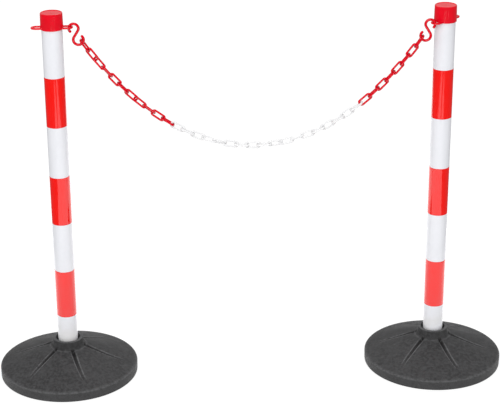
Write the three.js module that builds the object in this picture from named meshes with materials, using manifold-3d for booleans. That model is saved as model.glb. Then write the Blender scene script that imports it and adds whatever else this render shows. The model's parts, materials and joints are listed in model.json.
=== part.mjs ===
// A post-and-chain barrier. Two striped tube posts stand in round moulded bases. Each wears a cap with two
// eyelets, and a plastic chain hangs between the caps on S-hooks.
// Millimetres, +Z up. The origin is on the floor, midway between the posts. +X runs from the left post to the
// right post, and the front faces -Y.
import * as THREE from "three";
import { mergeVertices } from "three/addons/utils/BufferGeometryUtils.js";
import Module from "manifold-3d";

const wasm = await Module();
wasm.setup();

// The set
const POST_SPACING = 754.8;
const ROUND_SEGMENTS = 32;
const EDGE = 1.5;
const MERGE_DISTANCE = 1e-4;

// Post
const TUBE_RADIUS = 20;
const TUBE_WALL = 2;
const TUBE_BOTTOM = 12.3;
const TUBE_TOP = 759;
const TAPE_GAP = 0.05;
const TAPE_THICKNESS = 0.3;
const TAPE_HEIGHT = 100;
const TAPE_BOTTOMS = [129.5, 331.5, 535.5];

// Base
const BASE_RADIUS = 140;
const BASE_RIM_HEIGHT = 19.6;
const BASE_SEGMENTS = 48;
const RIM_DRAFT = 0.4;
const RIM_ROUNDING = 4;
const CONE_TOP_RADIUS = 36;
const CONE_TOP_HEIGHT = 60;
const HUB_FOOT_HEIGHT = 64;
const HUB_RADIUS = 30.5;
const HUB_HEIGHT = 77;
const MOUTH_RADIUS = 24.5;
const MOUTH_DEPTH = 14;
const SOCKET_RADIUS = 20.5;
const SOCKET_FLOOR = 12;
const GROOVE_COUNT = 6;
const GROOVE_START = 30;
const GROOVE_END = 104;
const GROOVE_DEPTH = 6.5;
const GROOVE_OPENING = 20;
const GROOVE_CUT_HEIGHT = 16;
const GROOVE_AZIMUTH = 46;

// Cap and eyelets
const CAP_BOTTOM = 730;
const CAP_TOP = 762;
const CAP_LOW_RADIUS = 22;
const CAP_TOP_RADIUS = 21.4;
const CAP_BORE_RADIUS = 20.3;
const CAP_CEILING = 759.4;
const BORE_OVERRUN = 5;
const EYELET_BOTTOM = 730.4;
const EYELET_THICKNESS = 3.2;
const EYELET_REACH = 30.3;
const EYELET_BAR = 4;
const EYELET_RING_RADIUS = 8;
const EYELET_SEGMENTS = 8;
const LEFT_CAP_TURN = 0;
const RIGHT_CAP_TURN = 45;

// Chain
const LINKS = 37;
const MIDDLE_LINK = 19;
const PITCH = 22.05;
const LINK_CLEARANCE = 1;
const LINK_WIRE = 2;
const LINK_HALF_WIDTH = 5.2;
const LINK_END_SEGMENTS = 4;
const LINK_SIDES = 6;
const WHITE_FROM = 12;
const WHITE_TO = 29;
const TWISTS = [
  { start: 1, ease: 1.2 },
  { start: 6, ease: 1.3 },
  { start: 14, ease: 1 },
  { start: 20, ease: 1 },
];
const TWIST_LENGTH = 4;
const FIRST_LINK_TILT = 12;
const SAG_SEARCH_STEPS = 60;

// S-hook, measured in the chain's plane
const HOOK_WIRE = 2.5;
const HOOK_SIDES = 8;
const HOOK_STEPS = 36;
const HOOK_TOP_BEND = 9.1;
const HOOK_LOW_BEND = 9.8;
const HOOK_BEND_SPACING = 24;
const HOOK_LEAN = 20;
const HOOK_TOP_TIP = 238;
const HOOK_LOW_TIP = 420;
const HOOK_BESIDE_BAR = 2.9;
const HOOK_BELOW_BAR = 2.4;
const LINK_BESIDE_BEND = 5.7;
const LINK_BELOW_BEND = 2.2;

const COLOURS = {
  rubber: { color: 0x46474a, roughness: 0.85, metalness: 0 },
  whiteTube: { color: 0xe9eaf0, roughness: 0.35, metalness: 0 },
  tape: { color: 0xf03a34, roughness: 0.45, metalness: 0 },
  redPlastic: { color: 0xe0101c, roughness: 0.35, metalness: 0 },
  whitePlastic: { color: 0xf2f2f2, roughness: 0.4, metalness: 0 },
};

const degrees = THREE.MathUtils.degToRad;

// --- From geometry to solid and back ---

function solidOf(geometry) {
  const bare = geometry.index ? geometry.toNonIndexed() : geometry.clone();
  bare.deleteAttribute("normal");
  bare.deleteAttribute("uv");
  const merged = mergeVertices(bare, MERGE_DISTANCE);
  return new wasm.Manifold(
    new wasm.Mesh({
      numProp: 3,
      vertProperties: merged.attributes.position.array,
      triVerts: new Uint32Array(merged.index.array),
    }),
  );
}

function geometryOf(solid) {
  const mesh = solid.getMesh();
  const geometry = new THREE.BufferGeometry();
  geometry.setAttribute("position", new THREE.BufferAttribute(mesh.vertProperties, 3));
  geometry.setIndex(new THREE.BufferAttribute(mesh.triVerts, 1));
  geometry.computeVertexNormals();
  return geometry;
}

function piece(name, geometry, look) {
  const mesh = new THREE.Mesh(geometry, new THREE.MeshStandardMaterial(look));
  mesh.name = name;
  return mesh;
}

// A round solid about Z. The profile is a list of [radius, height], walked up the outside.
function turned(profile, segments) {
  const points = profile.map(([radius, height]) => new THREE.Vector2(radius, height));
  return new THREE.LatheGeometry(points, segments).rotateX(Math.PI / 2);
}

function sleeve(inner, outer, bottom, height) {
  const top = bottom + height;
  return turned(
    [
      [inner, bottom],
      [outer, bottom],
      [outer, top],
      [inner, top],
      [inner, bottom],
    ],
    ROUND_SEGMENTS,
  );
}

// --- Base ---

// One V groove. Its bottom line starts below the cone at the hub and comes out of it further down the slope.
function grooveCutter() {
  const coneSlope = (CONE_TOP_HEIGHT - BASE_RIM_HEIGHT) / (BASE_RADIUS - CONE_TOP_RADIUS);
  const coneHeight = (radius) => CONE_TOP_HEIGHT - (radius - CONE_TOP_RADIUS) * coneSlope;
  const start = new THREE.Vector2(GROOVE_START, coneHeight(GROOVE_START) - GROOVE_DEPTH);
  const end = new THREE.Vector2(GROOVE_END, coneHeight(GROOVE_END));
  const section = new THREE.Shape([
    new THREE.Vector2(0, 0),
    new THREE.Vector2(GROOVE_CUT_HEIGHT, -GROOVE_OPENING / 2),
    new THREE.Vector2(GROOVE_CUT_HEIGHT, GROOVE_OPENING / 2),
  ]);
  const depth = start.distanceTo(end);
  const cutter = new THREE.ExtrudeGeometry(section, { depth, bevelEnabled: false });
  const downhill = Math.atan2(start.y - end.y, end.x - start.x);
  // The section's X becomes up, and its depth runs outwards along X.
  cutter.rotateY(-Math.PI / 2);
  cutter.rotateZ(Math.PI);
  cutter.rotateY(downhill);
  cutter.translate(start.x, 0, start.y);
  return cutter;
}

function base(name) {
  const body = turned(
    [
      [0, 0],
      [BASE_RADIUS - EDGE, 0],
      [BASE_RADIUS, EDGE],
      [BASE_RADIUS + RIM_DRAFT, BASE_RIM_HEIGHT - RIM_ROUNDING],
      [BASE_RADIUS + RIM_DRAFT - RIM_ROUNDING / 4, BASE_RIM_HEIGHT - RIM_ROUNDING / 3],
      [BASE_RADIUS - RIM_ROUNDING, BASE_RIM_HEIGHT],
      [CONE_TOP_RADIUS, CONE_TOP_HEIGHT],
      [HUB_RADIUS + EDGE, HUB_FOOT_HEIGHT],
      [HUB_RADIUS, HUB_HEIGHT - EDGE],
      [HUB_RADIUS - EDGE, HUB_HEIGHT],
      [MOUTH_RADIUS, HUB_HEIGHT],
      [SOCKET_RADIUS, HUB_HEIGHT - MOUTH_DEPTH],
      [SOCKET_RADIUS, SOCKET_FLOOR],
      [0, SOCKET_FLOOR],
    ],
    BASE_SEGMENTS,
  );
  let solid = solidOf(body);
  for (let i = 0; i < GROOVE_COUNT; i++) {
    const azimuth = degrees(GROOVE_AZIMUTH + (i * 360) / GROOVE_COUNT);
    solid = solid.subtract(solidOf(grooveCutter().rotateZ(azimuth)));
  }
  return piece(name, geometryOf(solid), COLOURS.rubber);
}

// --- Post ---

function tube(name) {
  const wall = sleeve(TUBE_RADIUS - TUBE_WALL, TUBE_RADIUS, TUBE_BOTTOM, TUBE_TOP - TUBE_BOTTOM);
  return piece(name, wall, COLOURS.whiteTube);
}

function bands(side) {
  const inner = TUBE_RADIUS + TAPE_GAP;
  return TAPE_BOTTOMS.map((bottom, i) => {
    const band = sleeve(inner, inner + TAPE_THICKNESS, bottom, TAPE_HEIGHT);
    return piece(`${side}_band_${i + 1}`, band, COLOURS.tape);
  });
}

// --- Cap ---

// One flat U-shaped eyelet along +X: a bar bent round a long hole, rooted in the cap's wall.
function eyelet() {
  const outer = EYELET_RING_RADIUS + EYELET_BAR / 2;
  const inner = EYELET_RING_RADIUS - EYELET_BAR / 2;
  const outline = new THREE.Shape();
  outline.moveTo(0, -outer);
  outline.lineTo(EYELET_REACH, -outer);
  outline.absarc(EYELET_REACH, 0, outer, -Math.PI / 2, Math.PI / 2, false);
  outline.lineTo(0, outer);
  outline.lineTo(0, inner);
  outline.lineTo(EYELET_REACH, inner);
  outline.absarc(EYELET_REACH, 0, inner, Math.PI / 2, -Math.PI / 2, true);
  outline.lineTo(0, -inner);
  outline.closePath();
  const plate = new THREE.ExtrudeGeometry(outline, {
    depth: EYELET_THICKNESS,
    bevelEnabled: false,
    curveSegments: EYELET_SEGMENTS,
  });
  return plate.translate(0, 0, EYELET_BOTTOM);
}

function cap(name, turn) {
  const shell = turned(
    [
      [0, CAP_BOTTOM],
      [CAP_LOW_RADIUS, CAP_BOTTOM],
      [CAP_TOP_RADIUS, CAP_TOP - EDGE],
      [CAP_TOP_RADIUS - EDGE, CAP_TOP],
      [0, CAP_TOP],
    ],
    ROUND_SEGMENTS,
  );
  const bore = turned(
    [
      [0, CAP_BOTTOM - BORE_OVERRUN],
      [CAP_BORE_RADIUS, CAP_BOTTOM - BORE_OVERRUN],
      [CAP_BORE_RADIUS, CAP_CEILING],
      [0, CAP_CEILING],
    ],
    ROUND_SEGMENTS,
  );
  const solid = solidOf(shell)
    .add(solidOf(eyelet().rotateZ(degrees(turn))))
    .add(solidOf(eyelet().rotateZ(degrees(turn + 180))))
    .subtract(solidOf(bore));
  return piece(name, geometryOf(solid), COLOURS.redPlastic);
}

// --- S-hook ---

// The hook's centre line in the chain's plane, from the eyelet bar at the origin: over the bar, down the
// slanted middle and round under the first link. facing is 1 for a chain that leads to +X, -1 for -X.
class HookLine extends THREE.Curve {
  constructor(facing) {
    super();
    this.facing = facing;
    this.top = new THREE.Vector2(HOOK_BESIDE_BAR, -HOOK_BELOW_BAR);
    this.low = lowBendCentre();
    const between = HOOK_TOP_BEND + HOOK_LOW_BEND;
    this.tangent = degrees(HOOK_LEAN - 90) + Math.acos(between / HOOK_BEND_SPACING);
    this.topSweep = this.tangent - degrees(HOOK_TOP_TIP);
    this.lowSweep = degrees(HOOK_LOW_TIP) - (this.tangent + Math.PI);
    this.lengths = [
      HOOK_TOP_BEND * Math.abs(this.topSweep),
      Math.sqrt(HOOK_BEND_SPACING ** 2 - between ** 2),
      HOOK_LOW_BEND * this.lowSweep,
    ];
  }

  getPoint(t) {
    const [topLength, middleLength, lowLength] = this.lengths;
    const walked = t * (topLength + middleLength + lowLength);
    const onBend = (centre, radius, angle) =>
      new THREE.Vector2(centre.x + radius * Math.cos(angle), centre.y + radius * Math.sin(angle));
    let spot;
    if (walked < topLength) {
      const angle = degrees(HOOK_TOP_TIP) + (this.topSweep * walked) / topLength;
      spot = onBend(this.top, HOOK_TOP_BEND, angle);
    } else if (walked < topLength + middleLength) {
      const from = onBend(this.top, HOOK_TOP_BEND, this.tangent);
      const to = onBend(this.low, HOOK_LOW_BEND, this.tangent + Math.PI);
      spot = from.lerp(to, (walked - topLength) / middleLength);
    } else {
      const share = (walked - topLength - middleLength) / lowLength;
      spot = onBend(this.low, HOOK_LOW_BEND, this.tangent + Math.PI + this.lowSweep * share);
    }
    return new THREE.Vector3(this.facing * spot.x, 0, spot.y);
  }
}

function lowBendCentre() {
  const lean = degrees(HOOK_LEAN);
  return new THREE.Vector2(
    HOOK_BESIDE_BAR + HOOK_BEND_SPACING * Math.sin(lean),
    -HOOK_BELOW_BAR - HOOK_BEND_SPACING * Math.cos(lean),
  );
}

function hook(name, facing) {
  const section = new THREE.Shape();
  for (let i = 0; i < HOOK_SIDES; i++) {
    const angle = (i / HOOK_SIDES) * 2 * Math.PI;
    const corner = [HOOK_WIRE * Math.cos(angle), HOOK_WIRE * Math.sin(angle)];
    if (i === 0) section.moveTo(...corner);
    else section.lineTo(...corner);
  }
  const wire = new THREE.ExtrudeGeometry(section, {
    steps: HOOK_STEPS,
    extrudePath: new HookLine(facing),
    bevelEnabled: false,
  });
  return piece(name, wire, COLOURS.redPlastic);
}

// --- Chain ---

// A link is a ring whose two halves are pulled apart along X.
function linkGeometry() {
  const stations = 2 * (LINK_END_SEGMENTS + 1);
  const ring = new THREE.TorusGeometry(LINK_HALF_WIDTH, LINK_WIRE, LINK_SIDES, stations);
  const innerEnd = (PITCH + LINK_CLEARANCE) / 2;
  const halfStraight = innerEnd + LINK_WIRE - LINK_HALF_WIDTH;
  const spread = (LINK_END_SEGMENTS + 1) / LINK_END_SEGMENTS;
  const position = ring.attributes.position;
  for (let i = 0; i < position.count; i++) {
    const end = Math.sign(position.getX(i));
    const radius = Math.hypot(position.getX(i), position.getY(i));
    const angle = spread * Math.asin(position.getY(i) / radius);
    const x = end * (radius * Math.cos(angle) + halfStraight);
    position.setXY(i, x, radius * Math.sin(angle));
  }
  return ring;
}

// In a hanging chain the tangent of the slope grows by the same step from each link to the next.
function slopes(step) {
  return Array.from({ length: LINKS }, (_, i) => Math.atan((MIDDLE_LINK - 1 - i) * step));
}

function slopesAcross(distance) {
  const reach = (step) => slopes(step).reduce((sum, slope) => sum + PITCH * Math.cos(slope), 0);
  let [slack, tight] = [1, 0];
  for (let i = 0; i < SAG_SEARCH_STEPS; i++) {
    const step = (slack + tight) / 2;
    if (reach(step) > distance) tight = step;
    else slack = step;
  }
  return slopes(slack);
}

// The chain turns a full turn about its own line, a quarter at a time, on top of each link's quarter turn.
// The first link leans a little on its hook.
function roll(number) {
  const quarters = TWISTS.map(
    ({ start, ease }) => THREE.MathUtils.clamp((number - start) / TWIST_LENGTH, 0, 1) ** ease,
  );
  const lean = number === 1 ? degrees(FIRST_LINK_TILT) : 0;
  return lean + (Math.PI / 2) * (number - 1 + quarters.reduce((sum, quarter) => sum + quarter, 0));
}

function links(start, distance) {
  const slope = slopesAcross(distance);
  const at = start.clone();
  return slope.map((angle, i) => {
    const number = i + 1;
    const white = number >= WHITE_FROM && number <= WHITE_TO;
    const name = `link_${String(number).padStart(2, "0")}`;
    const link = piece(name, linkGeometry(), white ? COLOURS.whitePlastic : COLOURS.redPlastic);
    const along = new THREE.Vector3(Math.cos(angle), 0, -Math.sin(angle)).multiplyScalar(PITCH);
    link.position.copy(at).addScaledVector(along, 0.5);
    link.rotation.set(roll(number), angle, 0, "YXZ");
    at.add(along);
    return link;
  });
}

// --- Assembly ---

function post(side, x, capTurn) {
  const group = new THREE.Group();
  group.position.x = x;
  group.add(base(`${side}_base`));
  group.add(tube(`${side}_tube`));
  group.add(...bands(side));
  group.add(cap(`${side}_cap`, capTurn));
  return group;
}

// The centre of the rounded end of the eyelet that holds the chain.
function eyeletCentre(postX, azimuth) {
  const direction = degrees(azimuth);
  return new THREE.Vector3(
    postX + EYELET_REACH * Math.cos(direction),
    EYELET_REACH * Math.sin(direction),
    EYELET_BOTTOM + EYELET_THICKNESS / 2,
  );
}

const barrier = new THREE.Group();
const halfSpacing = POST_SPACING / 2;
barrier.add(post("left", -halfSpacing, LEFT_CAP_TURN));
barrier.add(post("right", halfSpacing, RIGHT_CAP_TURN));

// The chain and its hooks hang in the vertical plane through the two eyelets' rounded ends.
const leftEyelet = eyeletCentre(-halfSpacing, LEFT_CAP_TURN);
const rightEyelet = eyeletCentre(halfSpacing, RIGHT_CAP_TURN + 180);
const eyeletSpan = leftEyelet.distanceTo(rightEyelet);
const hanging = new THREE.Group();
hanging.position.copy(leftEyelet);
hanging.rotation.z = Math.atan2(rightEyelet.y - leftEyelet.y, rightEyelet.x - leftEyelet.x);

const leftHook = hook("left_hook", 1);
leftHook.position.x = EYELET_RING_RADIUS;
const rightHook = hook("right_hook", -1);
rightHook.position.x = eyeletSpan - EYELET_RING_RADIUS;
hanging.add(leftHook, rightHook);

const bend = lowBendCentre();
const chainStart = new THREE.Vector3(
  EYELET_RING_RADIUS + bend.x + LINK_BESIDE_BEND,
  0,
  bend.y - LINK_BELOW_BEND,
);
hanging.add(...links(chainStart, eyeletSpan - 2 * chainStart.x));
barrier.add(hanging);

export default barrier;
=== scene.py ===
"""Looks for the post-and-chain barrier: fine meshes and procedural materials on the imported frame.

The scene is in metres, +Z up. The origin is on the floor, midway between the posts, and the front faces -Y.
Each piece is worked out in millimetres and made into metres by mesh_object.
"""

import json
import math

import bpy
import numpy as np
from mathutils import Matrix, Vector


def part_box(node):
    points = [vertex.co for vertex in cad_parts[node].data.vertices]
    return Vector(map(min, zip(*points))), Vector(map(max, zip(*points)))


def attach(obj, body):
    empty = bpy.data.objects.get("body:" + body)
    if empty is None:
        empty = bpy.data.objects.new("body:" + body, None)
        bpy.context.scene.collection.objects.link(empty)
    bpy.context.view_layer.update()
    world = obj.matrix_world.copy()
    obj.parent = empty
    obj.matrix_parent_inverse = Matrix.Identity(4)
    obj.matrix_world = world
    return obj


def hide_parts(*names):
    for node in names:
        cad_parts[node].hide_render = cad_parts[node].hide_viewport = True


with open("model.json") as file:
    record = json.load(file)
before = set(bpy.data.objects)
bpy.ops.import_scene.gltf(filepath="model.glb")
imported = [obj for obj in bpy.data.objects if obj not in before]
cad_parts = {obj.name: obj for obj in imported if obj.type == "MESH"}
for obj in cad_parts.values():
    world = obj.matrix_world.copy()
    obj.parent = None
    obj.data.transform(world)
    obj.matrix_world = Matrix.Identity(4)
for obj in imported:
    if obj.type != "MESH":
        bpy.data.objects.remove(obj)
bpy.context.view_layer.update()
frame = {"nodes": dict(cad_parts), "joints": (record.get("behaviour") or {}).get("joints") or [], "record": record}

MM = 0.001
TAU = 2 * math.pi
SIDES = ("left", "right")
JOINTS = {joint["name"]: joint for joint in frame["joints"]}
SLOTS = {part["node"]: part["material_slot"] for part in frame["record"]["subparts"]}
BODY_OF = {
    node: body
    for body, members in frame["record"]["behaviour"]["bodies"].items()
    for node in members
}

# Base, in millimetres and degrees like every size below
BASE_RADIUS = 140.4
BASE_FOOT_RADIUS = 140
BASE_RIM_HEIGHT = 19.6
CONE_TOP_RADIUS = 36
CONE_TOP_HEIGHT = 60
HUB_RADIUS = 30.5
HUB_FOOT_HEIGHT = 64
HUB_HEIGHT = 77
MOUTH_RADIUS = 24.5
MOUTH_DEPTH = 14
SOCKET_RADIUS = 20.5
SOCKET_FLOOR = 12
BASE_SEGMENTS = 432
BASE_STEP = 1.6
CONE_MARGIN = 3
PANEL_CROWN = 0.9

# Creases pressed into the base; fades, tapers and lips are shares of a crease's own length or half width
CREASES = 6
CREASE_AZIMUTH = 46
CREASE_START = 33
CREASE_END = 119
CREASE_DEPTH = 5
CREASE_HALF_WIDTH = 4.9
CREASE_NARROW_SIDE = 0.8
CREASE_TAPER = 0.3
CREASE_BEND = 3.0
CREASE_FADE = 0.15
CHANNEL_DEPTH = 1.1
LIP_HEIGHT = 0.4
LIP_MIDDLE = 1.15
LIP_WIDTH = 0.25

# Painted shade and painted highlights on the base: strengths from 0 to 1, and widths
CREASE_SHADE_SLOPE = 1.9
CREASE_SHADE_FALL = 1.3
HUB_SHADE = 0.25
RIM_SHADE = 0.2
RIM_SIDE_WIDTH = 4
RIM_TOP_WIDTH = 6
RIM_HIGHLIGHT = 0.5
RIM_HIGHLIGHT_WIDTH = 1.6
MOUTH_HIGHLIGHT = 0.6
MOUTH_HIGHLIGHT_WIDTH = 0.8
CONE_TOP_HIGHLIGHT = 0.35
CONE_TOP_HIGHLIGHT_WIDTH = 1.3

# Tube and tape; the seams are azimuths, from the lowest band up
TUBE_RADIUS = 20
TUBE_BORE_RADIUS = 18
TUBE_LIP = 0.5
TUBE_SEGMENTS = 128
TUBE_STEP = 40
TAPE_THICKNESS = 0.18
TAPE_LIFT = 0.03
TAPE_OVERLAP = 22
TAPE_RAMP = 9
TAPE_SEGMENTS = 120
TAPE_SEAMS = {"left": (118, 74, 96), "right": (66, 101, 82)}
TAPE_EDGE_ROWS = (0, 0.4, 1.2)
TAPE_WANDER = 0.22
TAPE_RIPPLE = 0.1
TAPE_DARK_EDGE = 0.3
TAPE_DULL_EDGE = 1
TAPE_DULLNESS = 0.35

# Cap and eyelets
CAP_LOW_RADIUS = 22
CAP_TOP_RADIUS = 21.4
CAP_BORE_RADIUS = 20.3
CAP_HEIGHT = 32
CAP_CEILING = 29.4
CAP_DISH = 0.9
CAP_LIP = 2.4
CAP_LIP_SLOPE = 0.5
CAP_TOP_ROUND = 1.9
CAP_SEGMENTS = 128
CAP_PARTING_RIDGE = 0.1
CAP_TOP_EDGE_PALE = 0.5
CAP_TOP_EDGE_PALE_WIDTH = 0.9
BORE_SEGMENTS = 96
BORE_OVERRUN = 3
GATE_RADIUS = 1.4
GATE_HEIGHT = 0.25
EYELET_THICKNESS = 3.6
EYELET_TOP_TO_BAR = 1.6
EYELET_RAISE = 0.4
EYELET_REACH = 30.3
EYELET_ROOT = 19
EYELET_BAR = 4.2
EYELET_RING_RADIUS = 8
EYELET_CORNER = 1.5
EYELET_CORNER_STEPS = 4
EYELET_BEND_STEPS = 32
EYELET_WEAR = 0.6
EYELET_WEAR_WIDTH = 10

# Chain link; its half width is to the wire's middle
LINK_LENGTH = 30.8
LINK_HALF_WIDTH = 5.2
LINK_WIRE_RADIUS = 2.0
LINK_CORNER = 3.8
LINK_CORNER_STEPS = 7
LINK_SIDE_STEPS = 6
LINK_WIRE_SIDES = 20
LINK_WEAR = 0.5
LINK_WEAR_WIDTH = 6
PARTING_RIDGE = 0.12
PARTING_WIDTH = 0.25

# S-hook; the tips are angles round its two bends
HOOK_WIRE_RADIUS = 2.6
HOOK_TOP_BEND = 9.1
HOOK_LOW_BEND = 9.8
HOOK_BEND_SPACING = 24
HOOK_LEAN = 20
HOOK_TOP_TIP = 238
HOOK_LOW_TIP = 420
HOOK_BESIDE_BAR = 2.9
HOOK_BELOW_BAR = 2.4
HOOK_STEP = 0.8
HOOK_WIRE_SIDES = 24
HOOK_WEAR = 0.8
HOOK_WEAR_WIDTH = 5
DOME_STEPS = 6
DOME_OPENING = 0.3

# Studio, in metres; a glow of 1 is pure white
FLOOR_SIZE = 40
FLOOR_WHITE = 0.86
FLOOR_BOUNCE = 0.5
POOL_RADIUS_X = 1.0
POOL_RADIUS_Y = 1.3
POOL_CORE = 0.8
BEAM_OFFSET_X = 0.42
BEAM_RADIUS_X = 0.5
BEAM_RADIUS_Y = 2.15
BEAM_CORE = 0.9
POOL_GLOW = 1.9
DARK_FLOOR_GLOW = 0.02
ROOM_LIGHT = 0.78
ROOM_DARK = 0.03
ROOM_WALL = 0.58
WALL_STARTS = 0.2
WALL_FULL = 0.8

# Lights: place, the point aimed at, width and height, watts
FRONT_LIGHT = ((-0.5, -2.6, 2.2), (0, 0, 0.4), (1.8, 1.2), 34)
BACK_LIGHT = ((0.4, 2.0, 2.6), (0, 0, 0.2), (1.6, 0.8), 16)
STRIPS_X = (-0.58, 0.16, 1.2)
STRIPS_Y = -2.4
STRIPS_HEIGHT = 0.2
STRIP_SIZE = (0.06, 0.4)
STRIP_WATTS = 0.5

# Camera: metres, millimetres of film and lens, and degrees
CAMERA_PLACE = (-0.164, -2.991, 1.574)
CAMERA_FILM = 36
CAMERA_LENS = 116.27
CAMERA_TURN_RIGHT = 3.11
CAMERA_TILT_DOWN = 22.09
CAMERA_ROLL = -0.32


# --- Numbers and outlines ---


def smooth(t):
    """0 below 0, 1 above 1 and an S-curve between."""
    t = min(max(t, 0), 1)
    return t * t * (3 - 2 * t)


def bell(value, middle, width):
    """1 at the middle, falling evenly to both sides; width away it is about a third."""
    return math.exp(-(((value - middle) / width) ** 2))


def rounded(corners, steps=6):
    """The outline through (a, b, radius) corners, each an arc of its radius or, at radius 0, sharp."""
    outline = []
    for i, (a, b, radius) in enumerate(corners):
        corner = Vector((a, b))
        if radius == 0 or i in (0, len(corners) - 1):
            outline.append(corner)
            continue
        before = (Vector(corners[i - 1][:2]) - corner).normalized()
        after = (Vector(corners[i + 1][:2]) - corner).normalized()
        half = before.angle(after) / 2
        centre = corner + (before + after).normalized() * radius / math.sin(half)
        start = corner + before * radius / math.tan(half) - centre
        turn = start.angle_signed(corner + after * radius / math.tan(half) - centre)
        for k in range(steps + 1):
            angle = -turn * k / steps
            cos, sin = math.cos(angle), math.sin(angle)
            outline.append(
                centre + Vector((start.x * cos - start.y * sin, start.x * sin + start.y * cos))
            )
    return outline


def subdivided(outline, longest):
    """The same outline with no step longer than longest."""
    points = [outline[0]]
    for a, b in zip(outline, outline[1:]):
        count = max(1, math.ceil((b - a).length / longest))
        points += [a.lerp(b, k / count) for k in range(1, count + 1)]
    return points


# --- Meshes ---


def mesh_object(name, points, faces, sharp_angle=50):
    """A smooth-shaded object from points in millimetres, with edges sharper than sharp_angle kept crisp."""
    mesh = bpy.data.meshes.new(name)
    mesh.from_pydata([tuple(c * MM for c in p) for p in points], [], faces)
    mesh.update()
    mesh.shade_smooth()
    mesh.set_sharp_from_angle(angle=math.radians(sharp_angle))
    thing = bpy.data.objects.new(name, mesh)
    bpy.context.scene.collection.objects.link(thing)
    return thing


def paint(thing, name, values):
    """Stores one number per vertex for the material to read."""
    attribute = thing.data.attributes.new(name, "FLOAT", "POINT")
    attribute.data.foreach_set("value", np.array(values, np.float32))


def turned(name, outline, azimuths, centre, shape=None, closed=False, sharp_angle=50):
    """A solid turned about the vertical line through centre.

    An open outline starts and ends on the axis; a closed one goes round a ring. shape moves a point given
    (radius, height, azimuth) to a new (radius, height).
    """
    points, rings = [], []
    for radius, height in outline:
        if radius < 1e-6:
            rings.append([len(points)] * len(azimuths))
            points.append((centre.x, centre.y, height))
            continue
        ring = []
        for azimuth in azimuths:
            r, z = shape(radius, height, azimuth) if shape else (radius, height)
            ring.append(len(points))
            points.append((centre.x + r * math.cos(azimuth), centre.y + r * math.sin(azimuth), z))
        rings.append(ring)
    pairs = list(zip(rings, rings[1:]))
    if closed:
        pairs.append((rings[-1], rings[0]))
    faces = []
    for low, high in pairs:
        for i in range(len(azimuths)):
            j = (i + 1) % len(azimuths)
            corners = [low[i], low[j], high[j], high[i]]
            face = [c for k, c in enumerate(corners) if c != corners[k - 1]]
            if len(face) > 2:
                faces.append(face)
    return mesh_object(name, points, faces, sharp_angle)


def even_azimuths(count):
    return [TAU * i / count for i in range(count)]


def swept(name, path, section, matrix, closed=False):
    """A wire along a flat path.

    The path is a list of (point, outward normal, size) in its plane. A section's point is (how far outwards,
    how far across the plane), and the path's size scales it.
    """
    points, faces = [], []
    count = len(section)
    for point, normal, size in path:
        for out, across in section:
            flat = point + normal * out * size
            points.append(matrix @ Vector((flat.x, flat.y, across * size)))
    steps = len(path) if closed else len(path) - 1
    for i in range(steps):
        a, b = i * count, ((i + 1) % len(path)) * count
        for k in range(count):
            n = (k + 1) % count
            faces.append([a + k, b + k, b + n, a + n])
    if not closed:
        faces.append(list(range(count)))
        last = (len(path) - 1) * count
        faces.append([last + k for k in reversed(range(count))])
    return mesh_object(name, points, faces)


def wire_section(radius, sides):
    """A round wire with the fine raised line that the two halves of its mould leave inside and outside."""
    half_ridge = PARTING_WIDTH / radius / 2
    angles = [TAU * k / sides for k in range(sides) if k not in (0, sides // 2)]
    for middle in (0, math.pi):
        angles += [middle + k * half_ridge for k in (-2, -1, 1, 2)]
    section = []
    for angle in sorted(angle % TAU for angle in angles):
        off = min(abs(angle - middle) for middle in (0, math.pi, TAU))
        r = radius if off > 1.5 * half_ridge else radius + PARTING_RIDGE
        section.append((r * math.cos(angle), r * math.sin(angle)))
    return section


def combine(target, others, operation):
    """Joins the others to the target or cuts them from it, and removes them."""
    for other in others:
        modifier = target.modifiers.new(operation.lower(), "BOOLEAN")
        modifier.operation = operation
        modifier.solver = "EXACT"
        modifier.object = other
        graph = bpy.context.evaluated_depsgraph_get()
        mesh = bpy.data.meshes.new_from_object(target.evaluated_get(graph), depsgraph=graph)
        target.modifiers.clear()
        target.data = mesh
        bpy.data.objects.remove(other)


def middle_of(node):
    """The centre of a CAD node's box, in millimetres."""
    low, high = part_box(node)
    return (low + high) / 2 / MM


def stand_in(thing, node, material):
    """The finished piece rides on its node's body and takes its place."""
    thing.data.materials.clear()
    thing.data.materials.append(material)
    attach(thing, BODY_OF[node])
    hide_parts(node)


# --- Materials ---


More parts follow.
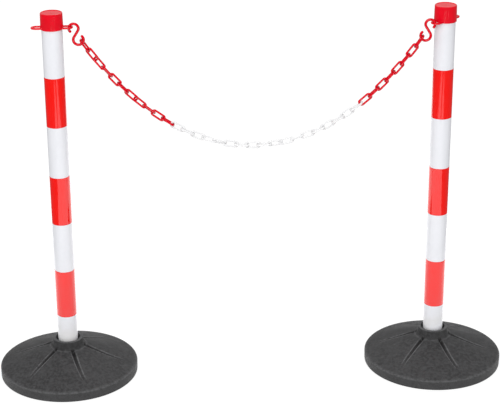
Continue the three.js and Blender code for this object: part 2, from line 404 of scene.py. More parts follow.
class Look:
    """One procedural material. Colours are linear RGB, and patterns are in the object's own metres."""

    def __init__(self, name):
        self.material = bpy.data.materials.new(name)
        self.material.use_nodes = True
        self.tree = self.material.node_tree
        self.shader = self.tree.nodes["Principled BSDF"]
        self.place = self.tree.nodes.new("ShaderNodeTexCoord").outputs["Object"]

    def node(self, kind, **settings):
        """A new shader node with these settings."""
        made = self.tree.nodes.new(kind)
        for name, value in settings.items():
            setattr(made, name, value)
        return made

    def feed(self, socket, value):
        """Gives an input another node's output, or a plain value."""
        if isinstance(value, bpy.types.NodeSocket):
            self.tree.links.new(value, socket)
        else:
            socket.default_value = value

    def stretched(self, x, y, z, shift_x=0.0):
        """The place scaled along each axis, after a shift that puts shift_x at 0."""
        mapping = self.node("ShaderNodeMapping")
        self.feed(mapping.inputs["Vector"], self.place)
        mapping.inputs["Scale"].default_value = (x, y, z)
        mapping.inputs["Location"].default_value = (-shift_x * x, 0, 0)
        return mapping.outputs["Vector"]

    def oval(self, x, radius_x, radius_y, core):
        """1 within an oval round (x, 0), falling to 0 at its edge from the share core of its radius."""
        away = self.node("ShaderNodeVectorMath", operation="LENGTH")
        self.feed(away.inputs[0], self.stretched(1 / radius_x, 1 / radius_y, 1, x))
        return self.spread(away.outputs["Value"], core, 1, 1, 0)

    def noise(self, scale, detail=3, roughness=0.5, place=None, distortion=0.0):
        """Smooth random values, about scale lumps to the metre."""
        made = self.node("ShaderNodeTexNoise")
        self.feed(made.inputs["Vector"], place or self.place)
        made.inputs["Scale"].default_value = scale
        made.inputs["Detail"].default_value = detail
        made.inputs["Roughness"].default_value = roughness
        made.inputs["Distortion"].default_value = distortion
        return made.outputs["Fac"]

    def cells(self, scale):
        """The distance to the nearest of about scale grains to the metre."""
        made = self.node("ShaderNodeTexVoronoi")
        self.feed(made.inputs["Vector"], self.place)
        made.inputs["Scale"].default_value = scale
        return made.outputs["Distance"]

    def spread(self, value, low, high, to_low=0.0, to_high=1.0):
        """value from low..high onto to_low..to_high, held at the ends."""
        made = self.node("ShaderNodeMapRange", interpolation_type="SMOOTHSTEP")
        self.feed(made.inputs["Value"], value)
        for name, number in (
            ("From Min", low),
            ("From Max", high),
            ("To Min", to_low),
            ("To Max", to_high),
        ):
            made.inputs[name].default_value = number
        return made.outputs["Result"]

    def maths(self, operation, a, b):
        made = self.node("ShaderNodeMath", operation=operation)
        self.feed(made.inputs[0], a)
        self.feed(made.inputs[1], b)
        return made.outputs[0]

    def mixed(self, share, a, b):
        """Colour a where the share is 0, and b where it is 1."""
        made = self.node("ShaderNodeMix", data_type="RGBA")
        self.feed(made.inputs["Factor"], share)
        for socket, colour in ((made.inputs[6], a), (made.inputs[7], b)):
            self.feed(socket, (*colour, 1) if isinstance(colour, tuple) else colour)
        return made.outputs[2]

    def outline(self):
        """Where painted shade goes: 0 on a surface that faces the viewer, up to 1 where it turns away."""
        facing = self.node("ShaderNodeLayerWeight").outputs["Facing"]
        return self.spread(facing, 0.15, 0.75)

    def painted(self, name):
        """The number that paint() stored on the mesh."""
        return self.node("ShaderNodeAttribute", attribute_name=name).outputs["Fac"]

    def height(self):
        """Metres above the floor."""
        parts = self.node("ShaderNodeSeparateXYZ")
        self.feed(parts.inputs[0], self.place)
        return parts.outputs["Z"]

    def bumps(self, *layers):
        """Each layer is (height value, depth in metres)."""
        normal = None
        for value, depth in layers:
            bump = self.node("ShaderNodeBump")
            bump.inputs["Strength"].default_value = 1
            bump.inputs["Distance"].default_value = depth
            self.feed(bump.inputs["Height"], value)
            if normal:
                self.feed(bump.inputs["Normal"], normal)
            normal = bump.outputs["Normal"]
        self.feed(self.shader.inputs["Normal"], normal)

    def finish(self, colour, roughness, specular=0.5, **extra):
        """Sets the shader's own inputs; an extra Coat_Weight, say, is the input Coat Weight."""
        self.feed(self.shader.inputs["Base Color"], colour)
        self.feed(self.shader.inputs["Roughness"], roughness)
        self.shader.inputs["Specular IOR Level"].default_value = specular
        for name, value in extra.items():
            self.shader.inputs[name.replace("_", " ")].default_value = value
        return self.material


def rubber():
    """Recycled rubber crumb pressed in a mould: mottled dark grey, matt and scuffed, darker with painted shade in
    its hollows and paler with painted highlights on its edges and wear on the crease lips.
    """
    look = Look("black_rubber")
    crumb = look.cells(420)
    mottle = look.noise(170, 4, 0.7)
    patches = look.noise(34, 4, 0.6, distortion=1.2)
    scuffs = look.noise(1, 5, 0.75, place=look.stretched(40, 150, 60))
    colour = look.mixed(look.spread(mottle, 0.38, 0.62), (0.034, 0.034, 0.035), (0.062, 0.062, 0.064))
    colour = look.mixed(look.spread(patches, 0.42, 0.66, 0, 0.4), colour, (0.072, 0.072, 0.074))
    colour = look.mixed(look.spread(crumb, 0.05, 0.3, 0.35, 0), colour, (0.085, 0.085, 0.087))
    colour = look.mixed(look.spread(scuffs, 0.58, 0.70, 0, 0.45), colour, (0.105, 0.105, 0.107))
    # Painted shade: darker in the creases, on the hub and on the rim's side
    colour = look.mixed(look.painted("shade"), colour, (0.014, 0.014, 0.014))
    # Painted highlights on the rim, round the mouth and at the cone's top; on the crease lips, highlight and wear
    wear_and_highlight = look.maths("MULTIPLY", look.painted("wear_and_highlight"), look.spread(mottle, 0.3, 0.6, 0.4, 1))
    colour = look.mixed(wear_and_highlight, colour, (0.155, 0.156, 0.160))
    roughness = look.spread(mottle, 0.3, 0.7, 0.60, 0.82)
    look.bumps((crumb, 0.00012), (mottle, 0.00030), (patches, 0.0005))
    return look.finish(colour, roughness, specular=0.28)


def tube_plastic():
    """Extruded white PVC: faint lines along its length, light scuffs and a little dirt near the base."""
    look = Look("white_pvc")
    lines = look.noise(1, 3, place=look.stretched(900, 900, 4))
    scuffs = look.noise(1, 6, 0.7, place=look.stretched(60, 60, 240))
    stain = look.noise(28, 5, 0.6)
    low = look.spread(look.height(), 0.07, 0.13, 1, 0)
    colour = look.mixed(look.spread(stain, 0.4, 0.7), (0.860, 0.868, 0.910), (0.835, 0.845, 0.885))
    colour = look.mixed(look.spread(scuffs, 0.62, 0.74, 0, 0.16), colour, (0.55, 0.55, 0.56))
    dirt = look.maths("MULTIPLY", low, look.spread(stain, 0.35, 0.65, 0.05, 0.4))
    colour = look.mixed(dirt, colour, (0.74, 0.71, 0.64))
    roughness = look.spread(scuffs, 0.45, 0.72, 0.30, 0.52)
    look.bumps((lines, 0.00005), (look.noise(160, 2), 0.00004), (scuffs, 0.00003))
    return look.finish(colour, roughness, specular=0.45, Coat_Weight=0.15, Coat_Roughness=0.2)


def tape():
    """Red film wound round the tube: glossy, slightly uneven, darker at its edges, where dirt sticks."""
    look = Look("red_tape")
    peel = look.noise(420, 2)
    waves = look.noise(1, 2, place=look.stretched(26, 26, 9))
    fade = look.noise(14, 4, 0.6)
    specks = look.spread(look.cells(60), 0.0, 0.05, 1, 0)
    colour = look.mixed(look.spread(fade, 0.35, 0.7), (0.980, 0.003, 0.000), (0.950, 0.006, 0.003))
    colour = look.mixed(look.maths("MULTIPLY", specks, 0.35), colour, (0.93, 0.10, 0.07))
    colour = look.mixed(look.spread(look.painted("edge"), 0, 1, 0, 0.6), colour, (0.52, 0.05, 0.04))
    roughness = look.spread(look.noise(70, 4), 0.35, 0.65, 0.06, 0.13)
    look.bumps((peel, 0.000006), (waves, 0.00035), (specks, 0.00003))
    return look.finish(colour, roughness, specular=0.5)


def moulded(name, base, deep, pale, outline=None):
    """Glossy moulded plastic: flow marks, fine grain, paler rubbed edges and, if given, a painted shade where the
    surface turns away from the viewer.
    """
    look = Look(name)
    flow = look.noise(24, 4, 0.5, distortion=2.2)
    drawn = look.noise(1, 3, place=look.stretched(420, 420, 14))
    rub = look.noise(260, 5, 0.65)
    colour = look.mixed(look.spread(flow, 0.35, 0.7), base, deep)
    wear_and_highlight = look.maths("MULTIPLY", look.painted("wear_and_highlight"), look.spread(rub, 0.45, 0.65, 0, 0.5))
    colour = look.mixed(wear_and_highlight, colour, pale)
    # Painted shade, deepening where the surface turns away from the viewer
    if outline:
        colour = look.mixed(look.outline(), colour, outline)
    roughness = look.spread(flow, 0.3, 0.7, 0.06, 0.15)
    look.bumps((drawn, 0.000012), (rub, 0.000015), (flow, 0.00012))
    return look.finish(colour, roughness, specular=0.35)


def cap_plastic():
    return moulded(
        "red_plastic",
        base=(0.840, 0.001, 0.015),
        deep=(0.770, 0.001, 0.012),
        pale=(0.90, 0.09, 0.10),
    )


def red_wire_plastic():
    return moulded(
        "red_chain",
        base=(0.820, 0.001, 0.016),
        deep=(0.750, 0.001, 0.013),
        pale=(0.84, 0.01, 0.03),
        # The painted shade on the wire's sides that turn away from the viewer
        outline=(0.370, 0.000, 0.010),
    )


def white_wire_plastic():
    return moulded(
        "white_plastic",
        base=(0.90, 0.90, 0.905),
        deep=(0.88, 0.88, 0.89),
        pale=(0.83, 0.82, 0.80),
    )


LOOKS = {
    "black_rubber": rubber(),
    "white_pvc": tube_plastic(),
    "red_tape": tape(),
    "red_plastic": cap_plastic(),
    "red_chain": red_wire_plastic(),
    "white_plastic": white_wire_plastic(),
}


def wire_look(node):
    """The node's slot's material, except that red links and hooks have their own red."""
    slot = SLOTS[node]
    return LOOKS["red_chain" if slot == "red_plastic" else slot]


# --- Base ---


def above_socket_floor(height):
    """Whether a height is clear of the socket's floor and of the flat underside."""
    return height > SOCKET_FLOOR + 1


def on_cone(radius, height):
    """Whether a point of the base is on its sloping top, clear of the hub and the rim."""
    between = CONE_TOP_RADIUS - CONE_MARGIN < radius < BASE_RADIUS - CONE_MARGIN
    return between and above_socket_floor(height)


def crease_across(radius, azimuth):
    """A point's distance from the nearest crease's middle, as a share of the crease's half width there, and
    its place along the crease, from 0 at the hub to 1 at the end.

    Creases curve slightly and are narrower on one side.
    """
    along = (radius - CREASE_START) / (CREASE_END - CREASE_START)
    pitch = TAU / CREASES
    bend = math.radians(CREASE_BEND) * along**2
    off = (azimuth - math.radians(CREASE_AZIMUTH) - bend + pitch / 2) % pitch - pitch / 2
    across = off * radius
    half_width = CREASE_HALF_WIDTH * ((CREASE_NARROW_SIDE if across < 0 else 1) - CREASE_TAPER * along)
    return abs(across) / half_width, along


def crease_depth(radius, azimuth):
    """How far the surface is pressed in below the cone.

    It is a V at the hub, and further out a shallow channel between two low lips.
    """
    across, along = crease_across(radius, azimuth)
    if not 0 < along < 1 or across > 2:
        return 0
    fade = smooth((1 - along) / CREASE_FADE)
    depth = (CREASE_DEPTH * (1 - along) ** 2 + CHANNEL_DEPTH * smooth(2 * along)) * fade
    pressed = max(0, 1 - across ** (1 + 3 * along))
    return depth * pressed - LIP_HEIGHT * fade * smooth(along * 3) * crease_lip(across)


def crease_lip(across):
    """The raised line along a crease's edge, as a share of its full height."""
    return bell(across, LIP_MIDDLE, LIP_WIDTH)


def panel_crown(radius, azimuth):
    """How far the cone swells between two creases, and sinks at them."""
    swell = math.cos(CREASES * (azimuth - math.radians(CREASE_AZIMUTH)))
    share = (radius - HUB_RADIUS) / (BASE_RADIUS - HUB_RADIUS)
    return -PANEL_CROWN * swell * math.sin(math.pi * min(max(share, 0), 1)) ** 1.5


def base_shape(radius, height, azimuth):
    """A point of the turned outline, moved up or down to the swollen and creased surface."""
    if not on_cone(radius, height):
        return radius, height
    return radius, height + panel_crown(radius, azimuth) - crease_depth(radius, azimuth)


def base_shade(radius, height, azimuth):
    """How much painted shade the rubber has, from 0 to 1: in the creases, on the hub and on the rim's side."""
    across, along = crease_across(radius, azimuth)
    valley = 0
    if on_cone(radius, height):
        valley = smooth(CREASE_SHADE_SLOPE * (1 - across)) * max(1 - along, 0) ** CREASE_SHADE_FALL
    hub = smooth((CONE_TOP_RADIUS - radius) / 3) * above_socket_floor(height) * HUB_SHADE
    below_rim = smooth((BASE_RIM_HEIGHT - 1 - height) / 2) * (radius > BASE_RADIUS - RIM_SIDE_WIDTH)
    return max(valley, hub, below_rim * RIM_SHADE)


def base_highlight_and_wear(radius, height, azimuth):
    """How much painted highlight the rubber has, from 0 to 1: on the rim, round the mouth, at the cone's top, and
    on the crease lips, where it also stands for wear.
    """
    across, along = crease_across(radius, azimuth)
    rim = bell(height, BASE_RIM_HEIGHT - 0.3, RIM_HIGHLIGHT_WIDTH) * (radius > BASE_RADIUS - RIM_TOP_WIDTH)
    mouth = bell(height, HUB_HEIGHT, MOUTH_HIGHLIGHT_WIDTH) * (radius > MOUTH_RADIUS)
    cone_top, lip = 0, 0
    if on_cone(radius, height):
        cone_top = bell(radius, CONE_TOP_RADIUS + 1, CONE_TOP_HIGHLIGHT_WIDTH)
        lip = crease_lip(across) * smooth(3 * along) * smooth(4 * (1 - along))
    return max(RIM_HIGHLIGHT * rim, MOUTH_HIGHLIGHT * mouth, CONE_TOP_HIGHLIGHT * cone_top, lip)


def base(side):
    """A domed disc with a hub and a blind socket."""
    node = f"{side}_base"
    corners = [
        (0, 0, 0),
        (BASE_FOOT_RADIUS, 0, 1.4),
        (BASE_RADIUS, BASE_RIM_HEIGHT, 3.4),
        (CONE_TOP_RADIUS, CONE_TOP_HEIGHT, 7),
        (HUB_RADIUS + 1.2, HUB_FOOT_HEIGHT, 3),
        (HUB_RADIUS, HUB_HEIGHT, 1.4),
        (MOUTH_RADIUS, HUB_HEIGHT, 0.9),
        (SOCKET_RADIUS, HUB_HEIGHT - MOUTH_DEPTH, 0.6),
        (SOCKET_RADIUS, SOCKET_FLOOR, 0),
        (0, SOCKET_FLOOR, 0),
    ]
    outline = subdivided(rounded(corners), BASE_STEP)
    centre = middle_of(f"{side}_tube")
    body = turned(node, outline, even_azimuths(BASE_SEGMENTS), centre, base_shape, sharp_angle=60)
    shade, wear_and_highlight = [], []
    for vertex in body.data.vertices:
        x, y = vertex.co.x / MM - centre.x, vertex.co.y / MM - centre.y
        place = (math.hypot(x, y), vertex.co.z / MM, math.atan2(y, x))
        shade.append(base_shade(*place))
        wear_and_highlight.append(base_highlight_and_wear(*place))
    paint(body, "shade", shade)
    paint(body, "wear_and_highlight", wear_and_highlight)
    stand_in(body, node, LOOKS[SLOTS[node]])


# --- Tube and tape ---


def tube(side):
    """An open pipe with slightly rounded ends."""
    node = f"{side}_tube"
    low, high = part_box(node)
    bottom, top = low.z / MM, high.z / MM
    half_wall = (TUBE_RADIUS + TUBE_BORE_RADIUS) / 2
    corners = [
        (half_wall, bottom, 0),
        (TUBE_RADIUS, bottom, TUBE_LIP),
        (TUBE_RADIUS, top, TUBE_LIP),
        (TUBE_BORE_RADIUS, top, TUBE_LIP),
        (TUBE_BORE_RADIUS, bottom, TUBE_LIP),
        (half_wall, bottom, 0),
    ]
    outline = subdivided(rounded(corners, 4), TUBE_STEP)[:-1]
    made = turned(node, outline, even_azimuths(TUBE_SEGMENTS), middle_of(node), closed=True)
    stand_in(made, node, LOOKS[SLOTS[node]])


def tape_edge(border, at_end):
    """How much of the edge's darker colour the tape has, border millimetres from its nearer long edge."""
    if border < TAPE_DARK_EDGE or at_end:
        return 1
    return TAPE_DULLNESS if border < TAPE_DULL_EDGE else 0


def band(side, number):
    """One turn of tape, whose end laps over its start. Its long edges wander a little."""
    node = f"{side}_band_{number}"
    low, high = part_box(node)
    bottom, top = low.z / MM, high.z / MM
    centre = middle_of(node)
    seam = math.radians(TAPE_SEAMS[side][number - 1])
    total = 360 + TAPE_OVERLAP
    heights = [bottom + row for row in TAPE_EDGE_ROWS]
    heights.append((bottom + top) / 2)
    heights += [top - row for row in reversed(TAPE_EDGE_ROWS)]
    steps = round(TAPE_SEGMENTS * total / 360)
    points, edge = [], []
    for i in range(steps + 1):
        degree = total * i / steps
        climb = smooth((degree - 360 + TAPE_RAMP) / TAPE_RAMP)
        inner = TUBE_RADIUS + TAPE_LIFT + climb * (TAPE_THICKNESS + TAPE_LIFT)
        azimuth = seam + math.radians(degree)
        wander = TAPE_WANDER * math.sin(2 * azimuth + number)
        wander += TAPE_RIPPLE * math.sin(5 * azimuth + 2 * number)
        for radius, order in ((inner, heights), (inner + TAPE_THICKNESS, heights[::-1])):
            for z in order:
                x, y = centre.x + radius * math.cos(azimuth), centre.y + radius * math.sin(azimuth)
                rise = wander * abs(2 * (z - bottom) / (top - bottom) - 1)
                points.append((x, y, z + rise))
                edge.append(tape_edge(min(z - bottom, top - z), i in (0, steps)))
    count = 2 * len(heights)
    faces = []
    for i in range(steps):
        for k in range(count):
            n = (k + 1) % count
            a, b = i * count, (i + 1) * count
            faces.append([a + k, a + n, b + n, b + k])
    for first in (0, steps * count):
        for k in range(len(heights) - 1):
            quad = [first + k, first + k + 1, first + count - 2 - k, first + count - 1 - k]
            faces.append(quad if first else quad[::-1])
    made = mesh_object(node, points, faces, sharp_angle=40)
    paint(made, "edge", edge)
    stand_in(made, node, LOOKS[SLOTS[node]])


# --- Cap ---


def eyelet_bar(turn, centre, bottom):
    """The U-shaped bar of one eyelet, flat, with rounded edges, rooted inside the cap's wall."""
    corner, half_bar, half_plate = EYELET_CORNER, EYELET_BAR / 2, EYELET_THICKNESS / 2
    section = []
    for out, across, start in ((1, 1, 0), (-1, 1, 90), (-1, -1, 180), (1, -1, 270)):
        for k in range(EYELET_CORNER_STEPS + 1):
            angle = math.radians(start + 90 * k / EYELET_CORNER_STEPS)
            from_middle = out * (half_bar - corner) + corner * math.cos(angle)
            height = across * (half_plate - corner) + corner * math.sin(angle)
            section.append((from_middle, height))
    path = [(Vector((EYELET_ROOT, -EYELET_RING_RADIUS)), Vector((0, -1)), 1)]
    for k in range(EYELET_BEND_STEPS + 1):
        angle = math.pi * (k / EYELET_BEND_STEPS - 0.5)
        normal = Vector((math.cos(angle), math.sin(angle)))
        path.append((Vector((EYELET_REACH, 0)) + normal * EYELET_RING_RADIUS, normal, 1))
    path.append((Vector((EYELET_ROOT, EYELET_RING_RADIUS)), Vector((0, 1)), 1))
    middle = Vector((centre.x, centre.y, bottom + EYELET_RAISE + half_plate))
    return swept("eyelet", path, section, Matrix.Translation(middle) @ Matrix.Rotation(turn, 4, "Z"))


def cap(side):
    """A tapered cup, dished on top, with the mould gate's stub, two parting lines and two eyelets."""
    node = f"{side}_cap"
    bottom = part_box(node)[0].z / MM
    centre = middle_of(f"{side}_tube")
    top = bottom + CAP_HEIGHT
    corners = [
        (0, bottom, 0),
        (CAP_LOW_RADIUS, bottom, 0.5),
        (CAP_TOP_RADIUS, top, CAP_TOP_ROUND),
        (CAP_TOP_RADIUS - CAP_LIP, top, 0.5),
        (CAP_TOP_RADIUS - CAP_LIP - CAP_LIP_SLOPE, top - CAP_DISH, 0.5),
        (GATE_RADIUS, top - CAP_DISH, 0.15),
        (GATE_RADIUS - 0.2, top - CAP_DISH + GATE_HEIGHT, 0.1),
        (0, top - CAP_DISH + GATE_HEIGHT, 0),
    ]
    turn = eyelet_turn(side)
    ridges = (turn + math.pi / 2, turn - math.pi / 2)
    half_ridge = PARTING_WIDTH / CAP_LOW_RADIUS / 2
    extra = [r + k * half_ridge for r in ridges for k in (-2, -1, 1, 2)]
    azimuths = sorted(a % TAU for a in even_azimuths(CAP_SEGMENTS) + extra)

    def with_parting_line(radius, height, azimuth):
        off = min(abs((azimuth - r + math.pi) % TAU - math.pi) for r in ridges)
        raised = off < 1.5 * half_ridge and radius > CAP_TOP_RADIUS - 0.7 and height > bottom + 0.5
        return (radius + CAP_PARTING_RIDGE if raised else radius), height

    body = turned(node, rounded(corners), azimuths, centre, with_parting_line)
    bore_outline = [
        (0, bottom - BORE_OVERRUN),
        (CAP_BORE_RADIUS, bottom - BORE_OVERRUN),
        (CAP_BORE_RADIUS, bottom + CAP_CEILING),
        (0, bottom + CAP_CEILING),
    ]
    bore = turned("bore", bore_outline, even_azimuths(BORE_SEGMENTS), centre)
    eyelets = [eyelet_bar(turn, centre, bottom), eyelet_bar(turn + math.pi, centre, bottom)]
    combine(body, eyelets, "UNION")
    combine(body, [bore], "DIFFERENCE")
    body.data.shade_smooth()
    body.data.set_sharp_from_angle(angle=math.radians(40))
    # Paler along the top edge, and wear at the eyelets' ring ends
    wear_and_highlight = []
    for vertex in body.data.vertices:
        p = vertex.co / MM
        reach = math.hypot(p.x - centre.x, p.y - centre.y)
        top_edge = bell(p.z, top, CAP_TOP_EDGE_PALE_WIDTH) * (reach > CAP_TOP_RADIUS - 2)
        ring_end = smooth((reach - EYELET_REACH) / EYELET_WEAR_WIDTH)
        wear_and_highlight.append(max(CAP_TOP_EDGE_PALE * top_edge, EYELET_WEAR * ring_end))
    paint(body, "wear_and_highlight", wear_and_highlight)
    stand_in(body, node, LOOKS[SLOTS[node]])


def eyelet_turn(side):
    """The azimuth of a cap's eyelet on the +X side, where the CAD cap reaches furthest from the tube."""
    mesh = frame["nodes"][f"{side}_cap"].data
    centre = middle_of(f"{side}_tube")
    offsets = [(v.co.x / MM - centre.x, v.co.y / MM - centre.y) for v in mesh.vertices]
    reach = max(math.hypot(x, y) for x, y in offsets)
    tips = [(x, y) for x, y in offsets if x > 0 and math.hypot(x, y) > reach - 1e-3]
    return math.atan2(sum(y for x, y in tips), sum(x for x, y in tips))


# --- S-hook ---


def hook_path():
    """Over the eyelet's bar, down the slanted middle and round under the first link. The chain is at +X."""
    lean = math.radians(HOOK_LEAN)
    top = Vector((HOOK_BESIDE_BAR, -HOOK_BELOW_BAR))
    low = top + Vector((math.sin(lean), -math.cos(lean))) * HOOK_BEND_SPACING
    tangent = lean - math.pi / 2 + math.acos((HOOK_TOP_BEND + HOOK_LOW_BEND) / HOOK_BEND_SPACING)
    path = []

    def walk(centre, radius, start, end, outward):
        steps = round(abs(end - start) * radius / HOOK_STEP)
        for k in range(steps + 1):
            angle = start + (end - start) * k / steps
            spoke = Vector((math.cos(angle), math.sin(angle)))
            path.append((centre + spoke * radius, spoke * outward, 1))

    top_start = math.radians(HOOK_TOP_TIP) - HOOK_WIRE_RADIUS / HOOK_TOP_BEND
    low_end = math.radians(HOOK_LOW_TIP) - HOOK_WIRE_RADIUS / HOOK_LOW_BEND
    walk(top, HOOK_TOP_BEND, top_start, tangent, 1)
    walk(low, HOOK_LOW_BEND, tangent + math.pi, low_end, -1)
    return with_round_ends(path, HOOK_WIRE_RADIUS)


def with_round_ends(path, radius):
    """Adds a dome to both ends of a wire. It stops just short of its tip, where a small flat closes it."""
    domes = []
    for end, inner in ((0, 1), (-1, -2)):
        point, normal = path[end][:2]
        along = (point - path[inner][0]).normalized()
        dome = []
        for k in range(1, DOME_STEPS + 1):
            angle = math.pi / 2 * k / (DOME_STEPS + DOME_OPENING)
            dome.append((point + along * radius * math.sin(angle), normal, math.cos(angle)))
        domes.append(dome)
    return domes[0][::-1] + path + domes[1]


def hook(side):
    """An S of round wire, hung on the eyelet's bar at the joint that swings it."""
    node = f"{side}_hook"
    joint = JOINTS["chain_swing" if side == "left" else "right_hook_swing"]
    along = Vector(joint["axis"]).normalized() * (1 if side == "left" else -1)
    up = Vector((0, 0, 1))
    bar = Vector(joint["pos_m"]) / MM - up * EYELET_TOP_TO_BAR
    place = Matrix((along, up, along.cross(up))).transposed().to_4x4()
    section = wire_section(HOOK_WIRE_RADIUS, HOOK_WIRE_SIDES)
    made = swept(node, hook_path(), section, Matrix.Translation(bar) @ place)
    heights = [(v.co / MM - bar).dot(up) for v in made.data.vertices]
    lowest, highest = min(heights), max(heights)
    nearest = [min(highest - height, height - lowest) for height in heights]
    paint(made, "wear_and_highlight", [HOOK_WEAR * smooth(1 - near / HOOK_WEAR_WIDTH) for near in nearest])
    stand_in(made, node, wire_look(node))


# --- Chain ---


def link_path():
    """A ring pulled long, with blunt ends and round corners."""
    half_length = LINK_LENGTH / 2 - LINK_WIRE_RADIUS
    inner = Vector((half_length - LINK_CORNER, LINK_HALF_WIDTH - LINK_CORNER))
    path = []
    for quarter, (x, y) in enumerate(((1, 1), (-1, 1), (-1, -1), (1, -1))):
        for k in range(LINK_CORNER_STEPS + 1):
            angle = math.pi / 2 * (quarter + k / LINK_CORNER_STEPS)
            normal = Vector((math.cos(angle), math.sin(angle)))
            path.append((Vector((x * inner.x, y * inner.y)) + normal * LINK_CORNER, normal, 1))
        if quarter % 2 == 0:
            start = path[-1][0]
            for k in range(1, LINK_SIDE_STEPS):
                path.append((start * Vector((1 - 2 * k / LINK_SIDE_STEPS, 1)), normal, 1))
    return path


def link_frame(node):
    """The link's own axes, from where its CAD solid's points lie: along it, across it and through it."""
    mesh = frame["nodes"][node].data
    points = np.array([v.co for v in mesh.vertices], float) / MM
    centre = middle_of(node)
    axes = np.linalg.eigh(np.cov((points - np.array(centre)).T))[1]
    along, across = Vector(axes[:, 2]), Vector(axes[:, 1])
    turn = Matrix((along, across, along.cross(across))).transposed().to_4x4()
    return Matrix.Translation(centre) @ turn


def link(node):
    """One link, with wear towards both its ends."""
    place = link_frame(node)
    made = swept(node, link_path(), wire_section(LINK_WIRE_RADIUS, LINK_WIRE_SIDES), place, closed=True)
    inverse = place.inverted()
    wear_and_highlight = []
    for vertex in made.data.vertices:
        from_end = LINK_LENGTH / 2 - abs((inverse @ (vertex.co / MM)).x)
        wear_and_highlight.append(LINK_WEAR * smooth(1 - from_end / LINK_WEAR_WIDTH))
    paint(made, "wear_and_highlight", wear_and_highlight)
    stand_in(made, node, wire_look(node))


# --- Studio ---


def ray_kind(tree, kind):
    """1 for rays of one kind, such as Camera, Glossy or Diffuse, and 0 for the rest."""
    return tree.nodes.new("ShaderNodeLightPath").outputs[f"Is {kind} Ray"]


def floor():
    """White paper that mostly glows rather than being lit.

    The camera sees it evenly white, and diffuse rays see an even bounce. Glossy surfaces see a painted pool of
    light round the posts, a painted beam in front of each post, and dark floor beyond.
    """
    mesh = bpy.data.meshes.new("floor")
    corners = [(-FLOOR_SIZE, -FLOOR_SIZE, 0), (FLOOR_SIZE, -FLOOR_SIZE, 0)]
    corners += [(FLOOR_SIZE, FLOOR_SIZE, 0), (-FLOOR_SIZE, FLOOR_SIZE, 0)]
    mesh.from_pydata(corners, [], [(0, 1, 2, 3)])
    thing = bpy.data.objects.new("floor", mesh)
    bpy.context.scene.collection.objects.link(thing)
    look = Look("pale_floor")
    pool = look.oval(0, POOL_RADIUS_X, POOL_RADIUS_Y, POOL_CORE)
    for sign in (-1, 1):
        beam = look.oval(sign * BEAM_OFFSET_X, BEAM_RADIUS_X, BEAM_RADIUS_Y, BEAM_CORE)
        pool = look.maths("MAXIMUM", pool, beam)
    pool = look.spread(pool, 0, 1, DARK_FLOOR_GLOW, POOL_GLOW)
    seen = look.maths("MULTIPLY", ray_kind(look.tree, "Camera"), FLOOR_WHITE)
    mirrored = look.maths("MULTIPLY", ray_kind(look.tree, "Glossy"), pool)
    bounced = look.maths("MULTIPLY", ray_kind(look.tree, "Diffuse"), FLOOR_BOUNCE)
    glow = look.maths("ADD", look.maths("ADD", seen, mirrored), bounced)
    look.feed(look.shader.inputs["Emission Strength"], glow)
    paper = look.noise(300, 3)
    colour = look.mixed(look.spread(paper, 0.3, 0.7), (0.20, 0.20, 0.20), (0.22, 0.22, 0.22))
    look.bumps((paper, 0.00005))
    look.finish(colour, 0.9, specular=0.0, Emission_Color=(1, 1, 1, 1))
    mesh.materials.append(look.material)


def soft_light(name, place, aim, size, watts):
    """An area light that the camera doesn't see."""
    data = bpy.data.lights.new(name, "AREA")
    data.shape = "RECTANGLE"
    data.size, data.size_y = size
    data.energy = watts
    lamp = bpy.data.objects.new(name, data)
    bpy.context.scene.collection.objects.link(lamp)
    lamp.location = place
    lamp.rotation_euler = (Vector(aim) - Vector(place)).to_track_quat("-Z", "Y").to_euler()
    lamp.visible_camera = False


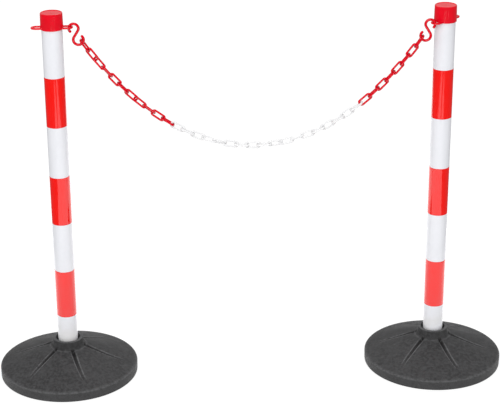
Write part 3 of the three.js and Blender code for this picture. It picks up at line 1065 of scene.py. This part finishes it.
def room():
    """Even white light, except that glossy surfaces see a bright wall behind and a dark room elsewhere."""
    world = bpy.data.worlds.new("studio")
    bpy.context.scene.world = world
    world.use_nodes = True
    tree = world.node_tree
    background = tree.nodes["Background"]
    direction = tree.nodes.new("ShaderNodeSeparateXYZ")
    coordinate = tree.nodes.new("ShaderNodeTexCoord")
    tree.links.new(coordinate.outputs["Generated"], direction.inputs[0])
    wall = tree.nodes.new("ShaderNodeMapRange")
    wall.interpolation_type = "SMOOTHSTEP"
    tree.links.new(direction.outputs["Y"], wall.inputs["Value"])
    wall.inputs["From Min"].default_value = WALL_STARTS
    wall.inputs["From Max"].default_value = WALL_FULL
    wall.inputs["To Min"].default_value = ROOM_DARK
    wall.inputs["To Max"].default_value = ROOM_WALL
    strength = tree.nodes.new("ShaderNodeMix")
    tree.links.new(ray_kind(tree, "Glossy"), strength.inputs["Factor"])
    strength.inputs[2].default_value = ROOM_LIGHT
    tree.links.new(wall.outputs["Result"], strength.inputs[3])
    tree.links.new(strength.outputs[0], background.inputs["Strength"])
    background.inputs["Color"].default_value = (1, 1, 1, 1)


def studio():
    """The floor, the room's light, and area lights in front, behind and low in front for the gloss."""
    floor()
    room()
    soft_light("front", *FRONT_LIGHT)
    soft_light("back", *BACK_LIGHT)
    for number, x in enumerate(STRIPS_X, 1):
        place, aim = (x, STRIPS_Y, STRIPS_HEIGHT), (0, 0, STRIPS_HEIGHT)
        soft_light(f"strip_{number}", place, aim, STRIP_SIZE, STRIP_WATTS)
    bpy.context.scene.view_settings.view_transform = "Standard"


def camera():
    """Looks down at the object from the front, a little from the left."""
    data = bpy.data.cameras.new("camera")
    data.sensor_width = CAMERA_FILM
    data.lens = CAMERA_LENS
    thing = bpy.data.objects.new("camera", data)
    bpy.context.scene.collection.objects.link(thing)
    turn = Matrix.Rotation(-math.radians(CAMERA_TURN_RIGHT), 4, "Z")
    tilt = Matrix.Rotation(math.radians(90 - CAMERA_TILT_DOWN), 4, "X")
    roll = Matrix.Rotation(math.radians(CAMERA_ROLL), 4, "Z")
    thing.matrix_world = Matrix.Translation(CAMERA_PLACE) @ turn @ tilt @ roll
    bpy.context.scene.camera = thing


# --- Everything ---

for side in SIDES:
    base(side)
    tube(side)
    for number in (1, 2, 3):
        band(side, number)
    cap(side)
    hook(side)
for node in sorted(frame["nodes"]):
    if node.startswith("link_"):
        link(node)
studio()
camera()
